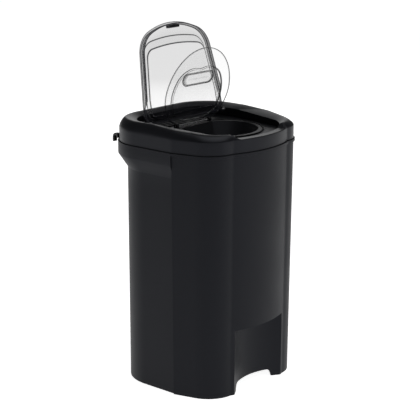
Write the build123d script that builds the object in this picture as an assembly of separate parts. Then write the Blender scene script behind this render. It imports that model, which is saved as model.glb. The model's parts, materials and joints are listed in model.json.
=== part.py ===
from build123d import *
import math
import os

# Dog waste bin: a moulded body, a rim frame that lifts off to change the bag,
# a deck with a chute, a small clear inner lid and a large clear outer lid.
# Millimetres. Z is up, the floor is z = 0, the front faces -Y and the bin is
# symmetric about X = 0. The sizes below measure Y from a line across the front;
# main() then moves every piece so that the origin is the centre of the footprint.
# Both lids stand open.

# ---- plan of the rim and the body ----
RIM_HALF = 142.0                  # half width of the rim skirt
RIM_BACK = 262.0                  # rear face of the rim skirt
BODY_HALF = RIM_HALF - 5.0        # half width of the body behind the side ridges
BODY_BACK = RIM_BACK - 16.0       # rear face of the body
CORNER_R = 85.0                   # rear corner radius
RIDGE_Y = 84.0                    # where the flush front cheek steps back to the body side
CHEEK_X = RIM_HALF - 11.0         # point where the cheek turns into the front corner
CHEEK_Y = 38.0
CREASE_X = RIM_HALF - 66.0        # the two vertical creases that bound the round nose
CREASE_Y = -4.5
NOSE_Y = -20.0                    # foremost line of the nose
FRONT_DRAFT = 5.0                 # how far the front leans in at the floor
CHEEK_LEAN = (0.6, 0.8)           # share of that lean at the cheek, across and back

# ---- body ----
BODY_H = 456.0                    # top lip of the body
COLLAR_Z = BODY_H - 23.0          # lower edge of the collar face
COLLAR_TAPER = 24.0               # height of the taper under the collar
COLLAR_OUT = 2.5                  # how far the collar stands outside the rim skirt
BEAD_H = 6.0                      # height of the bead that carries the collar round the front
FLOOR_Z = 30.0                    # top of the inner floor
FLOOR_T = 3.0
WALL = 3.0

# ---- front recess and the arch between the feet ----
SCOOP_TOP = 125.0
SCOOP_HALF = CREASE_X - 4.0
SCOOP_DEPTH = 20.0                # innermost line of the recess
SCOOP_START = -6.0                # where the recess meets the creases
ARCH_H = 14.0
ARCH_HALF = SCOOP_HALF - 20.0
ARCH_R = 10.0

# ---- bag ring and its ledges ----
BAG_RING_IN = 10.0                # ring, in from the rim skirt
BAG_RING_W = 6.0
BAG_RING_H = 6.0
BAG_RING_Z = BODY_H - 29.0
LEDGE_W = 14.0
LEDGE_H = 5.0
LEDGE_X = 40.0                    # ledges at the front and the back
LEDGE_Y = 115.0                   # ledges at the two sides

# ---- rim frame ----
RIM_WALL = 2.5
SEAL_T = 1.0                      # rim seal between the body lip and the rim skirt
SEAL_EDGE = 0.3                   # seal, in from both edges of the skirt
SKIRT_Z = BODY_H + SEAL_T
SHOULDER_Z = SKIRT_Z + 27.0       # where the skirt turns into the bevel
CROWN_Z = SHOULDER_Z + 15.0
CROWN_IN = 14.0                   # crown peak, in from the skirt
CROWN_CHEEK = (15.0, 9.0)         # crown's cheek point, in from the skirt's
CROWN_CREASE = (5.0, 9.0)         # crown's crease, in from the skirt's
CROWN_NOSE = 11.0                 # crown's nose, in from the skirt's
BAND_DROP = 6.0                   # fall of the top band from the crown to the opening
CROWN_FALL = 12.0                 # fall of the crown from the lid's sides to the nose
OPEN_Z = CROWN_Z - BAND_DROP
ROOF_T = 3.0
TONGUE_Z = BODY_H - 13.0          # lower edge of the tongue inside the body
TONGUE_GAP = 0.6
OPEN_BACK = RIM_BACK - 28.0       # rear edge of the opening
OPEN_CORNER_R = 55.0
NOTCH_Z = CROWN_Z - 17.5          # finger notch across the front of the rim
NOTCH_HALF = CREASE_X - 16.0
NOTCH_SLOPE = 28.0                # width of each sloping end of the notch
WELL_Z = CROWN_Z - 22.0           # lower edge of the opening's inner wall, top of the deck

# ---- outer lid, given in its closed place ----
OUTER_HINGE_Y = RIM_BACK - 90.0
OUTER_HINGE_Z = CROWN_Z - 9.5
OUTER_LIFT = 5.0                  # closed lid plate above the hinge axis
OUTER_OPEN = 102.0                # opening angle shown
LID_HALF = RIM_HALF - 34.0
LID_SIDE_Y = OUTER_HINGE_Y - 30.0 # the straight side ends here
LID_CHEEK_X = CHEEK_X - 37.0
LID_CHEEK_Y = 44.0
LID_CREASE_X = CREASE_X - 14.0
LID_CREASE_Y = 4.0
LID_NOSE = 8.0                    # free edge in front of Y = 0
LID_T = 2.2
LID_OVERLAP = 1.5                 # lid flange beyond the opening
LIP_IN = 3.0
LIP_T = 2.0
LIP_H = 8.0
LID_CORNER_R = 20.0
LID_BACK = 3.0                    # plate behind the hinge axis
DISH_DEPTH = 5.0
DISH_BACK = 10.0                  # dish's upper line, in front of the hinge axis
DISH_CORNER_R = 12.0
DISH_RUN = 2.0                    # run of the dish's wall at the back and the corners
DISH_STEP = 5.0                   # shift of the dish's cheek and crease points
DISH_IN = 14.0                    # dish's upper line, in from the lid's side
DISH_SLOPE = 3.0                  # run of the dish's side wall
DISH_NOSE_Y = 18.0                # dish's upper line at the free end
DISH_NOSE_SLOPE = 14.0            # run of the dish's wall at the free end
PIN_R = 2.5
PIN_GAP = 0.05                    # radial running clearance of the hinge pins
PIN_SEAT = 5.5                    # length of each hinge pin held in the rim
PIN_END_GAP = 0.5                 # bore beyond the pin's end
BOSS_DROP = 1.0                   # hinge boss, below the pin's axis
KNUCKLE_R = 5.0
KNUCKLE_X = LID_HALF - 10.0       # inner face of each outer lid knuckle
KNUCKLE_W = 7.0
CATCH_W = 32.0
CATCH_D = 6.0
CATCH_H = 6.0
CATCH_GAP = 1.0                   # catch, in from the lip
CATCH_LIP = 1.5                   # narrow front edge, below the catch

# ---- deck ----
DECK_T = 3.0
DECK_OUT = 12.0                   # deck edge beyond the opening
DECK_GAP = 1.0                    # deck edge, in from the tongue
RIB_N = 6
RIB_PITCH = 9.0
RIB_T = 2.0
RIB_H = 2.5
RIB_HALF = 62.0
RIB_FIRST_Y = OUTER_HINGE_Y + 6.0

# ---- inner lid, given in its closed place ----
INNER_HINGE_Y = OUTER_HINGE_Y - 13.0
INNER_HINGE_Z = WELL_Z + 3.6
INNER_OPEN = 78.0                 # opening angle shown
INNER_T = 2.2
EGG_HALF = LID_HALF - 19.0
EGG_WIDE = 62.0                   # widest place, from the hinge
EGG_LEN = INNER_HINGE_Y - 12.0
EGG_HINGE_HALF = 42.0
PANEL_IN = 20.0                   # raised panel, in from the edge
PANEL_RISE = 3.0
PANEL_LEN = 104.0                 # the panel ends here, from the hinge
GRIP_HALF = 42.0
GRIP_R = 12.0
GRIP_AT = EGG_LEN - 61.0          # grip centre line, from the hinge
GRIP_RISE = 2.5                   # grip above the raised panel
GRIP_WALL = 2.0
ROD_R = 1.6
BARREL_R = 3.2
EAR_W = 6.0
EAR_R = 4.0
EAR_GAP = 0.5                     # end play between lid barrel and ear

# ---- chute and the inner lid's seal ----
CHUTE_IN = 9.0                    # chute mouth, in from the inner lid's edge
CHUTE_SCALE = 0.62                # outlet size, as a share of the mouth
CHUTE_DROP = 40.0
CHUTE_T = 2.5
CHUTE_FLANGE = 4.0
CHUTE_FLANGE_T = 1.4
INNER_SEAL_IN = 1.5               # inner lid seal, in from the lid's edge
INNER_SEAL_W = 2.5
INNER_SEAL_GAP = 0.3

# ---- deck screws ----
SCREW_R = 2.0
SCREW_L = 10.0
SCREW_HEAD_R = 4.0
SCREW_HEAD_H = 2.5
BORE_GAP = 0.05
BOSS_R = 5.0
SCREW_IN = 1.0                    # plastic between a screw and the opening's wall
SCREW_STEP = 30.0                 # front screws, behind the lid's cheek
BORE_SPARE = 1.0                  # screw bore beyond the screw's end

# ---- rear hooks ----
HOOK_X = RIM_HALF - 34.0
HOOK_TOP = SKIRT_Z + 9.0
HOOK_W = 9.0
HOOK_T = 4.5
HOOK_GAP = 6.0                    # clear width inside the hook
HOOK_TIP = HOOK_TOP - 19.0        # lower end of the hook's tip
HOOK_FOOT = HOOK_TOP - 7.5        # lower end of the hook's foot

CENTRE_Y = (RIM_BACK + NOSE_Y) / 2
BIG = 600.0                       # longer than any size of the bin
JOIN = 1.0                        # how far joined shapes run into each other


def at(z, face):
    """A plan face lifted to height z."""
    return Pos(0, 0, z) * face


def prism(face, z0, z1):
    """A plan face extruded between two heights."""
    return extrude(at(z0, face), amount=z1 - z0)


def ring(half, back, corner, side_y, cheek, crease, nose_y, grow=0.0):
    """A closed plan with a round nose at the front and round corners at the back.

    The straight side runs from the rear corner to side_y, then on to cheek, an arc
    leads from there to crease, and one arc carries the nose across the front.
    grow moves the whole line outwards.
    """
    slope = Vector(cheek[0] - half, cheek[1] - side_y).normalized()
    sagitta = crease[1] - nose_y
    radius = (crease[0] ** 2 + sagitta ** 2) / (2 * sagitta)
    turn = math.asin(crease[0] / radius)
    half, back, corner = half + grow, back + grow, corner + grow
    c0 = (half - corner, back)
    c1 = (half, back - corner)
    side = (half, side_y)
    e = (cheek[0] - grow * slope.Y, cheek[1] + grow * slope.X)
    f = (crease[0] + grow * math.sin(turn), crease[1] - grow * math.cos(turn))
    elbow = (half - corner * (1 - math.sqrt(0.5)), back - corner * (1 - math.sqrt(0.5)))
    right = [
        Line((0, back), c0),
        ThreePointArc(c0, elbow, c1),
        Line(c1, side),
        Line(side, e),
        TangentArc(e, f, tangent=slope),
        ThreePointArc(f, ((f[0] * 0.5), nose_edge(f, nose_y - grow, 0.5)), (0, nose_y - grow)),
    ]
    right = [line.edge() for line in right]
    left = [edge.mirror(Plane.YZ) for edge in right]
    return make_face(Wire(right + left))


def nose_edge(crease, nose_y, share):
    """Height of the nose arc at a share of the crease's distance from the centre."""
    sagitta = crease[1] - nose_y
    radius = (crease[0] ** 2 + sagitta ** 2) / (2 * sagitta)
    return nose_y + radius - math.sqrt(radius ** 2 - (share * crease[0]) ** 2)


def front_points(z):
    """Cheek, crease and nose of the body and the rim, which lean in towards the floor."""
    lean = FRONT_DRAFT * max(0.0, 1 - z / BODY_H)
    cheek = (CHEEK_X - CHEEK_LEAN[0] * lean, CHEEK_Y + CHEEK_LEAN[1] * lean)
    return cheek, (CREASE_X, CREASE_Y + lean), NOSE_Y + lean


def rim_plan(grow=0.0, z=BODY_H):
    cheek, crease, nose = front_points(z)
    return ring(RIM_HALF, RIM_BACK, CORNER_R, RIDGE_Y, cheek, crease, nose, grow)


def ridge_plan(grow, z):
    """The flush front cheeks: the rim's plan at the lip, leaning in below it."""
    cheek, crease, nose = front_points(z)
    return ring(RIM_HALF - (crease[1] - CREASE_Y) / 2, RIM_BACK, CORNER_R, RIDGE_Y, cheek, crease, nose, grow)


def body_plan(grow, z):
    cheek, crease, nose = front_points(z)
    return ring(BODY_HALF, BODY_BACK, CORNER_R, RIDGE_Y, cheek, crease, nose, grow)


def crown_plan():
    """The highest line of the rim."""
    cheek = (CHEEK_X - CROWN_CHEEK[0], CHEEK_Y + CROWN_CHEEK[1])
    crease = (CREASE_X - CROWN_CREASE[0], CREASE_Y + CROWN_CREASE[1])
    return ring(RIM_HALF - CROWN_IN, RIM_BACK - CROWN_IN, CORNER_R - CROWN_IN, RIDGE_Y,
                cheek, crease, NOSE_Y + CROWN_NOSE)


def lid_plan(grow=0.0):
    """Edge of the outer lid, closed."""
    return ring(LID_HALF, OUTER_HINGE_Y + LID_BACK, LID_CORNER_R, LID_SIDE_Y,
                (LID_CHEEK_X, LID_CHEEK_Y), (LID_CREASE_X, LID_CREASE_Y), -LID_NOSE, grow)


def opening_plan(grow=0.0):
    """The opening in the rim: the lid's edge in front of the hinge, and on to the back."""
    return ring(LID_HALF, OPEN_BACK, OPEN_CORNER_R, LID_SIDE_Y,
                (LID_CHEEK_X, LID_CHEEK_Y), (LID_CREASE_X, LID_CREASE_Y), -LID_NOSE,
                grow - LID_OVERLAP)


def egg_plan(grow=0.0):
    """Edge of the inner lid, closed: a straight hinge edge and a round free end."""
    hinge = INNER_HINGE_Y
    wide = hinge - EGG_WIDE
    reach = EGG_HALF - EGG_HINGE_HALF
    chord = math.hypot(reach, EGG_WIDE)
    bulge = chord / 2 * math.tan(math.atan2(reach, EGG_WIDE) / 2)
    middle_x = (EGG_HALF + EGG_HINGE_HALF) / 2 + bulge * EGG_WIDE / chord
    middle_y = hinge - EGG_WIDE / 2 + bulge * reach / chord
    edges = [
        Line((-EGG_HINGE_HALF, hinge), (EGG_HINGE_HALF, hinge)),
        ThreePointArc((EGG_HINGE_HALF, hinge), (middle_x, middle_y), (EGG_HALF, wide)),
        ThreePointArc((EGG_HALF, wide), (0, hinge - EGG_LEN), (-EGG_HALF, wide)),
        ThreePointArc((-EGG_HALF, wide), (-middle_x, middle_y), (-EGG_HINGE_HALF, hinge)),
    ]
    face = make_face(Wire(edges))
    return offset(face, amount=grow).face() if grow else face


def pin(x0, x1, radius, y, z):
    """A round bar along X."""
    return Pos((x0 + x1) / 2, y, z) * Rot(0, 90, 0) * Cylinder(radius, abs(x1 - x0))


def block(x0, x1, y0, y1, z0, z1):
    """A box between two corners."""
    size = Box(x1 - x0, y1 - y0, z1 - z0)
    return Pos((x0 + x1) / 2, (y0 + y1) / 2, (z0 + z1) / 2) * size


def both_sides(shape):
    """The shape and its mirror image in X."""
    return shape + mirror(shape, about=Plane.YZ)


def scoop(grow=0.0):
    """The recess in the lower front, grown on every side by grow."""
    edge = SCOOP_HALF + grow
    deep = SCOOP_DEPTH + grow
    face = make_face(Wire([
        Line((-edge, -BIG / 10), (edge, -BIG / 10)),
        Line((edge, -BIG / 10), (edge, SCOOP_START)),
        ThreePointArc((edge, SCOOP_START), (0, deep), (-edge, SCOOP_START)),
        Line((-edge, SCOOP_START), (-edge, -BIG / 10)),
    ]))
    return prism(face, -WALL, SCOOP_TOP + grow)


def body_mass(grow):
    """The body as one solid lump without its recess, moved in or out by grow."""
    low, high = (0, BODY_H) if grow == 0 else (-WALL, BODY_H + WALL)
    side = loft([at(low, body_plan(grow, low)), at(high, body_plan(grow, high))], ruled=True)
    cheeks = loft([at(low, ridge_plan(grow, low)), at(high, ridge_plan(grow, high))], ruled=True)
    cheeks &= block(-BIG, BIG, -BIG, RIDGE_Y + grow, -BIG, BIG)
    return side + cheeks


def collar(grow, edge, shift):
    """The wide band round the top of the body and the taper under it."""
    low = COLLAR_Z - COLLAR_TAPER + shift
    face = at(COLLAR_Z + shift, rim_plan(edge))
    taper = loft([at(low, body_plan(grow, low)), face], ruled=True)
    band = extrude(face, amount=BODY_H - COLLAR_Z + (WALL if grow else 0) - shift)
    return (taper + band) & block(-BIG, BIG, RIDGE_Y, BIG, 0, BIG)


def bin_body():
    shell = body_mass(0) + collar(0, COLLAR_OUT, 0)
    shell += prism(rim_plan(COLLAR_OUT), BODY_H - BEAD_H, BODY_H)
    hollow = body_mass(-WALL) + collar(-WALL, -WALL, WALL / 2)
    hollow += prism(rim_plan(-WALL), TONGUE_Z - WALL, BODY_H + WALL)
    hollow -= block(-BIG, BIG, -BIG, BIG, FLOOR_Z - FLOOR_T, FLOOR_Z)
    hollow -= scoop(WALL)
    ledges = bag_ledges() & prism(rim_plan(-WALL / 2), 0, BODY_H)
    shell = shell - hollow - scoop() + (ledges - prism(rim_plan(-BAG_RING_IN - BAG_RING_W), 0, BODY_H))
    return shell - foot_arch()


def bag_ledges():
    """Bars across the mouth; their ends are the six ledges under the bag ring."""
    top = BAG_RING_Z
    low = top - LEDGE_H
    half = LEDGE_W / 2
    across = block(-BIG, BIG, LEDGE_Y - half, LEDGE_Y + half, low, top)
    return across + both_sides(block(LEDGE_X - half, LEDGE_X + half, -BIG, BODY_BACK, low, top))


def foot_arch():
    """The arch that leaves a foot at each side of the front."""
    side = Rectangle(2 * ARCH_HALF, 2 * ARCH_H)
    side = fillet(side.vertices(), ARCH_R)
    cut = extrude(Plane.XZ * side, amount=BIG, both=True)
    return cut & block(-BIG, BIG, -BIG, RIDGE_Y / 2, -BIG, BIG)


def rim_frame():
    skirt = prism(rim_plan(), SKIRT_Z, SHOULDER_Z)
    skirt += loft([at(SHOULDER_Z, rim_plan()), at(CROWN_Z, crown_plan())], ruled=True)
    inside = rim_underside()
    frame = skirt - inside
    tongue_out = -WALL - TONGUE_GAP
    tongue = prism(rim_plan(tongue_out), TONGUE_Z, NOTCH_Z - ROOF_T / 2)
    tongue -= prism(rim_plan(tongue_out - RIM_WALL), 0, BIG)
    frame += tongue
    frame += hinge_bosses() + screw_bosses()
    frame -= prism(opening_plan(), 0, OPEN_Z)
    frame -= loft([at(OPEN_Z, opening_plan()), at(CROWN_Z, crown_plan())], ruled=True)
    frame -= notch(NOTCH_Z) + crown_fall(0)
    frame -= hinge_bores() + screw_bores(WELL_Z)
    return frame


def rim_underside():
    """The hollow under the rim, up to a roof that follows the notch."""
    bevel_in = CROWN_IN * (OPEN_Z - ROOF_T - SHOULDER_Z) / (CROWN_Z - SHOULDER_Z)
    hollow = prism(rim_plan(-RIM_WALL), 0, SHOULDER_Z - RIM_WALL / 2)
    hollow += prism(rim_plan(-RIM_WALL - bevel_in), 0, OPEN_Z - ROOF_T)
    hollow -= prism(opening_plan(RIM_WALL), WELL_Z, BIG)
    return hollow - notch(NOTCH_Z - ROOF_T) - crown_fall(ROOF_T)


def notch(z):
    """The finger notch across the front of the rim, down to height z."""
    rise = CROWN_Z + RIM_WALL - z
    profile = Polygon((-NOTCH_HALF, z), (NOTCH_HALF, z), (NOTCH_HALF + NOTCH_SLOPE, z + rise),
                      (-NOTCH_HALF - NOTCH_SLOPE, z + rise), align=None)
    cut = extrude(Plane.XZ * profile, amount=BIG / 4, both=True)
    return cut & block(-BIG, BIG, -BIG, RIDGE_Y / 2, 0, BIG)


def crown_fall(below):
    """Everything above the crown where it falls to the front, or below it by below."""
    top = CROWN_Z - below
    profile = Polygon((LID_SIDE_Y, top), (2 * NOSE_Y, top - CROWN_FALL),
                      (2 * NOSE_Y, top + BIG / 10), (LID_SIDE_Y, top + BIG / 10), align=None)
    return extrude(Plane.YZ * profile, amount=BIG / 2, both=True)


def side_x(y):
    """Half width of the opening at a place along its side."""
    slope = (LID_HALF - LID_CHEEK_X) / (LID_SIDE_Y - LID_CHEEK_Y)
    return LID_HALF - LID_OVERLAP - slope * max(0.0, LID_SIDE_Y - y)


def screw_spots():
    """Places of the deck screws, on the right side."""
    out = RIM_WALL + SCREW_R + SCREW_IN
    sides = [(side_x(y) + out, y) for y in (LID_CHEEK_Y + SCREW_STEP, LID_SIDE_Y)]
    return sides + [(OPEN_CORNER_R / 2, OPEN_BACK - LID_OVERLAP + out)]


def each_spot(shape):
    """The shape repeated at every deck screw."""
    spots = [Pos(x, y, 0) * shape for x, y in screw_spots()]
    return Compound(children=spots + [mirror(s, about=Plane.YZ) for s in spots])


def post(radius, z0, z1):
    return Pos(0, 0, (z0 + z1) / 2) * Cylinder(radius, z1 - z0)


def screw_bosses():
    one = post(BOSS_R, WELL_Z, OPEN_Z - ROOF_T / 2)
    return fuse_all(each_spot(one)) - prism(opening_plan(), 0, BIG)


def screw_bores(z0):
    depth = SCREW_L - DECK_T + BORE_SPARE
    return fuse_all(each_spot(post(SCREW_R + BORE_GAP, z0 - JOIN, z0 + depth)))


def fuse_all(group):
    """One shape from a group of solids."""
    solids = group.solids()
    return solids[0] + solids[1:]


def hinge_bosses():
    outer = KNUCKLE_X + KNUCKLE_W + PIN_SEAT + WALL
    return both_sides(pin(LID_HALF - 2 * JOIN, outer, KNUCKLE_R, OUTER_HINGE_Y, OUTER_HINGE_Z - BOSS_DROP))


def hinge_bores():
    outer = KNUCKLE_X + KNUCKLE_W + PIN_SEAT + PIN_END_GAP
    bore = PIN_R + PIN_GAP
    return both_sides(pin(KNUCKLE_X, outer, bore, OUTER_HINGE_Y, OUTER_HINGE_Z))


def rim_seal():
    ring_out = prism(rim_plan(-SEAL_EDGE), BODY_H, SKIRT_Z)
    return ring_out - prism(rim_plan(SEAL_EDGE - RIM_WALL), 0, BIG)


def bag_ring():
    outer = prism(rim_plan(-BAG_RING_IN), BAG_RING_Z, BAG_RING_Z + BAG_RING_H)
    return outer - prism(rim_plan(-BAG_RING_IN - BAG_RING_W), 0, BIG)


def deck():
    low = WELL_Z - DECK_T
    plate = prism(opening_plan(DECK_OUT), low, WELL_Z)
    plate &= prism(rim_plan(-WALL - TONGUE_GAP - RIM_WALL - DECK_GAP), 0, BIG)
    for i in range(RIB_N):
        y = RIB_FIRST_Y + i * RIB_PITCH
        plate += block(-RIB_HALF, RIB_HALF, y - RIB_T / 2, y + RIB_T / 2, low, WELL_Z + RIB_H)
    plate += both_sides(hinge_ear())
    plate -= prism(egg_plan(-CHUTE_IN), 0, BIG)
    plate -= pin(-BIG, BIG, ROD_R + PIN_GAP, INNER_HINGE_Y, INNER_HINGE_Z)
    return plate - screw_bores(low)


def hinge_ear():
    """The lug on the deck that carries one end of the inner hinge rod."""
    x0 = EGG_HINGE_HALF + EAR_GAP
    round_top = pin(x0, x0 + EAR_W, EAR_R, INNER_HINGE_Y, INNER_HINGE_Z)
    foot = block(x0, x0 + EAR_W, INNER_HINGE_Y - EAR_R, INNER_HINGE_Y + EAR_R, WELL_Z - JOIN, INNER_HINGE_Z)
    return (round_top + foot) & block(-BIG, BIG, -BIG, BIG, WELL_Z - JOIN, BIG)


def chute():
    mouth = egg_plan(-CHUTE_IN - INNER_SEAL_GAP)
    centre_y = INNER_HINGE_Y - EGG_LEN / 2
    top = WELL_Z + CHUTE_FLANGE_T
    low = WELL_Z - CHUTE_DROP

    def funnel(shrink, z0, z1):
        face = offset(mouth, amount=-shrink).face() if shrink else mouth
        small = Pos(0, centre_y * (1 - CHUTE_SCALE), 0) * scale(face, by=CHUTE_SCALE)
        return loft([at(z1, face), at(z0, small)], ruled=True)

    body = funnel(0, low, top) + prism(egg_plan(-CHUTE_IN + CHUTE_FLANGE), WELL_Z, top)
    return body - funnel(CHUTE_T, low, top)


def deck_screws():
    low = WELL_Z - DECK_T
    shank = post(SCREW_R, low, low + SCREW_L)
    head = post(SCREW_HEAD_R, low - SCREW_HEAD_H, low)
    return fuse_all(each_spot(shank + head))


def inner_seal():
    top = INNER_HINGE_Z - INNER_T / 2 - INNER_SEAL_GAP
    ring_face = prism(egg_plan(-INNER_SEAL_IN), WELL_Z, top)
    ring_face -= prism(egg_plan(-INNER_SEAL_IN - INNER_SEAL_W), 0, BIG)
    return ring_face - block(-BIG, BIG, INNER_HINGE_Y - 2 * BARREL_R, BIG, 0, BIG)


def inner_rod():
    half = EGG_HINGE_HALF + EAR_GAP + EAR_W
    return pin(-half, half, ROD_R, INNER_HINGE_Y, INNER_HINGE_Z)


def stadium(half, radius, z0, z1):
    """A long round-ended bar across the inner lid, at the grip."""
    face = SlotOverall(2 * half, 2 * radius)
    return prism(Pos(0, INNER_HINGE_Y - GRIP_AT) * face, z0, z1)


def open_up(shape, y, z, angle):
    """Swing a closed lid about its hinge to its open place."""
    return Pos(0, y, z) * Rot(-angle, 0, 0) * Pos(0, -y, -z) * shape


def behind(inset):
    """Everything from the panel's free end towards the hinge, less inset."""
    return block(-BIG, BIG, INNER_HINGE_Y - PANEL_LEN + inset, BIG, 0, BIG)


def inner_lid():
    low = INNER_HINGE_Z - INNER_T / 2
    high = low + INNER_T
    panel = high + PANEL_RISE
    lid = prism(egg_plan(), low, high) + (prism(egg_plan(-PANEL_IN), high, panel) & behind(0))
    lid -= prism(egg_plan(-PANEL_IN - INNER_T), low, panel - INNER_T) & behind(INNER_T)
    lid += stadium(GRIP_HALF, GRIP_R, panel, panel + GRIP_RISE)
    lid -= stadium(GRIP_HALF - GRIP_WALL, GRIP_R - GRIP_WALL, panel, BIG)
    lid += stadium(GRIP_HALF - GRIP_R, GRIP_WALL / 2, panel, panel + GRIP_RISE / 2)
    barrel = EGG_HINGE_HALF
    lid += pin(-barrel, barrel, BARREL_R, INNER_HINGE_Y, INNER_HINGE_Z)
    ear_end = barrel + EAR_W + 2 * EAR_GAP
    lid -= both_sides(pin(barrel, ear_end, EAR_R + EAR_GAP, INNER_HINGE_Y, INNER_HINGE_Z))
    lid -= pin(-BIG, BIG, ROD_R + PIN_GAP, INNER_HINGE_Y, INNER_HINGE_Z)
    return open_up(lid, INNER_HINGE_Y, INNER_HINGE_Z, INNER_OPEN)


def dish_plan(edge):
    """The dished panel of the outer lid: edge 0 is its floor, edge 1 its upper line."""
    inset = DISH_IN + DISH_SLOPE * (1 - edge)
    nose = DISH_NOSE_Y + DISH_NOSE_SLOPE * (1 - edge)
    fall = DISH_RUN * (1 - edge)
    return ring(LID_HALF - inset, OUTER_HINGE_Y - DISH_BACK - fall, DISH_CORNER_R - fall,
                LID_SIDE_Y - DISH_CORNER_R,
                (LID_CHEEK_X - inset + DISH_SLOPE, LID_CHEEK_Y + DISH_STEP * (2 - edge)),
                (LID_CREASE_X - DISH_CORNER_R + fall, nose + DISH_STEP), nose)


def outer_lid():
    low = OUTER_HINGE_Z + OUTER_LIFT
    high = low + LID_T
    floor = low - DISH_DEPTH
    lid = prism(lid_plan(), low, high)
    lid += loft([at(high, dish_plan(1)), at(floor, dish_plan(0))], ruled=True)
    upper = Pos(0, 0, high) * offset(dish_plan(1), amount=-LID_T).face()
    lower = Pos(0, 0, floor + LID_T) * offset(dish_plan(0), amount=-LID_T).face()
    lid -= loft([upper, lower], ruled=True)
    lip = prism(lid_plan(-LIP_IN), low - LIP_H, low) - prism(lid_plan(-LIP_IN - LIP_T), 0, BIG)
    lid += lip & block(-BIG, BIG, -BIG, LID_SIDE_Y, 0, BIG)
    lid += both_sides(knuckle(low))
    lid -= pin(-BIG, BIG, PIN_R + PIN_GAP, OUTER_HINGE_Y, OUTER_HINGE_Z)
    return open_up(lid, OUTER_HINGE_Y, OUTER_HINGE_Z, OUTER_OPEN)


def knuckle(plate_z):
    """The hinge eye under one rear corner of the outer lid."""
    x1 = KNUCKLE_X + KNUCKLE_W
    eye = pin(KNUCKLE_X, x1, KNUCKLE_R, OUTER_HINGE_Y, OUTER_HINGE_Z)
    y0 = OUTER_HINGE_Y - KNUCKLE_R
    return eye + block(KNUCKLE_X, x1, y0, OUTER_HINGE_Y + LID_BACK, OUTER_HINGE_Z, plate_z)


def lid_catch():
    """The snap catch under the free edge of the outer lid."""
    plate_z = OUTER_HINGE_Z + OUTER_LIFT
    y0 = LIP_IN + LIP_T + CATCH_GAP - LID_NOSE
    catch = block(-CATCH_W / 2, CATCH_W / 2, y0, y0 + CATCH_D, plate_z - CATCH_H, plate_z)
    low = plate_z - CATCH_H - CATCH_LIP
    catch += block(-CATCH_W / 3, CATCH_W / 3, y0, y0 + CATCH_D / 2, low, plate_z)
    return open_up(catch, OUTER_HINGE_Y, OUTER_HINGE_Z, OUTER_OPEN)


def hinge_pin():
    """The right pin of the outer lid."""
    return pin(KNUCKLE_X, KNUCKLE_X + KNUCKLE_W + PIN_SEAT, PIN_R, OUTER_HINGE_Y, OUTER_HINGE_Z)


def rear_hook():
    """The right rear hook: a foot on the skirt, an arch and a tip that hangs down."""
    inner = RIM_BACK - CORNER_R + math.sqrt(CORNER_R ** 2 - (HOOK_X - RIM_HALF + CORNER_R) ** 2)
    y1 = inner + HOOK_T + HOOK_GAP
    y2 = y1 + HOOK_T
    side = Polygon((inner - CORNER_R / 3, HOOK_FOOT), (inner + HOOK_T / 2, HOOK_FOOT),
                   (inner + HOOK_T, HOOK_TOP - HOOK_T), (y1, HOOK_TOP - HOOK_T),
                   (y1, HOOK_TIP), (y2, HOOK_TIP), (y2, HOOK_TOP), (inner - CORNER_R / 3, HOOK_TOP),
                   align=None)
    shape = Pos(HOOK_X, 0, 0) * extrude(Plane.YZ * side, amount=HOOK_W / 2, both=True)
    return shape - prism(rim_plan(), 0, BIG)


def main():
    os.makedirs("parts", exist_ok=True)
    nodes = {
        "bin_body": bin_body(),
        "rim_seal": rim_seal(),
        "bag_ring": bag_ring(),
        "rim_frame": rim_frame(),
        "deck": deck(),
        "deck_screws": deck_screws(),
        "chute": chute(),
        "inner_seal": inner_seal(),
        "inner_hinge_rod": inner_rod(),
        "inner_lid": inner_lid(),
        "outer_lid": outer_lid(),
        "lid_catch": lid_catch(),
        "hinge_pin_right": hinge_pin(),
        "hinge_pin_left": mirror(hinge_pin(), about=Plane.YZ),
        "rear_hook_right": rear_hook(),
        "rear_hook_left": mirror(rear_hook(), about=Plane.YZ),
    }
    for name, shape in nodes.items():
        export_step(Pos(0, -CENTRE_Y, 0) * shape, f"parts/{name}.step")


main()
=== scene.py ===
# %% [markdown]
# # A dog waste bin with two clear lids
# The packed CAD model, called the frame, holds the pieces' real sizes and the joints.
# This script puts a finished surface on it: moulded black walls, a rounded rim, two
# clear lids, a catch and two glossy hooks. The frame is in metres, z is up, the floor
# is z = 0 and the front of the bin faces -Y.

# %% Load the frame
import json

import bpy
import numpy as np
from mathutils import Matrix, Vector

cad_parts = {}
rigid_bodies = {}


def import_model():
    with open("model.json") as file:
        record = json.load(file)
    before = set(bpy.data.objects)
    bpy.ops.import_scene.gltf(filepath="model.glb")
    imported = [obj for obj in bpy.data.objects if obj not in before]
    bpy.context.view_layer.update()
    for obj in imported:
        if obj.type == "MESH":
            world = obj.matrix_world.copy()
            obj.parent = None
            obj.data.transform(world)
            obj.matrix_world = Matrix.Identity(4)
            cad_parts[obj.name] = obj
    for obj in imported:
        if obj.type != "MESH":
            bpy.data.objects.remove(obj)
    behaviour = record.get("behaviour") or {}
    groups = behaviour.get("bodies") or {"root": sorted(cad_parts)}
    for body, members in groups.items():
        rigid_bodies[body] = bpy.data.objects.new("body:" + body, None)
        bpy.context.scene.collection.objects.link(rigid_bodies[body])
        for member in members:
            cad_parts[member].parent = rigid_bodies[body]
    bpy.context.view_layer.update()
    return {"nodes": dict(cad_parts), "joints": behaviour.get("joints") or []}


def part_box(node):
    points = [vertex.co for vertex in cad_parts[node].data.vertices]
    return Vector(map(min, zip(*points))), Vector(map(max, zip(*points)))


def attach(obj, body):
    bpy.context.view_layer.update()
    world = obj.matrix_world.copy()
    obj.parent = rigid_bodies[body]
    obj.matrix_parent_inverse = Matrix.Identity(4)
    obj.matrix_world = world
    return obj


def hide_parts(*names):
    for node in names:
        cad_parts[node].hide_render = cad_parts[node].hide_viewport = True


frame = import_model()

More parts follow.
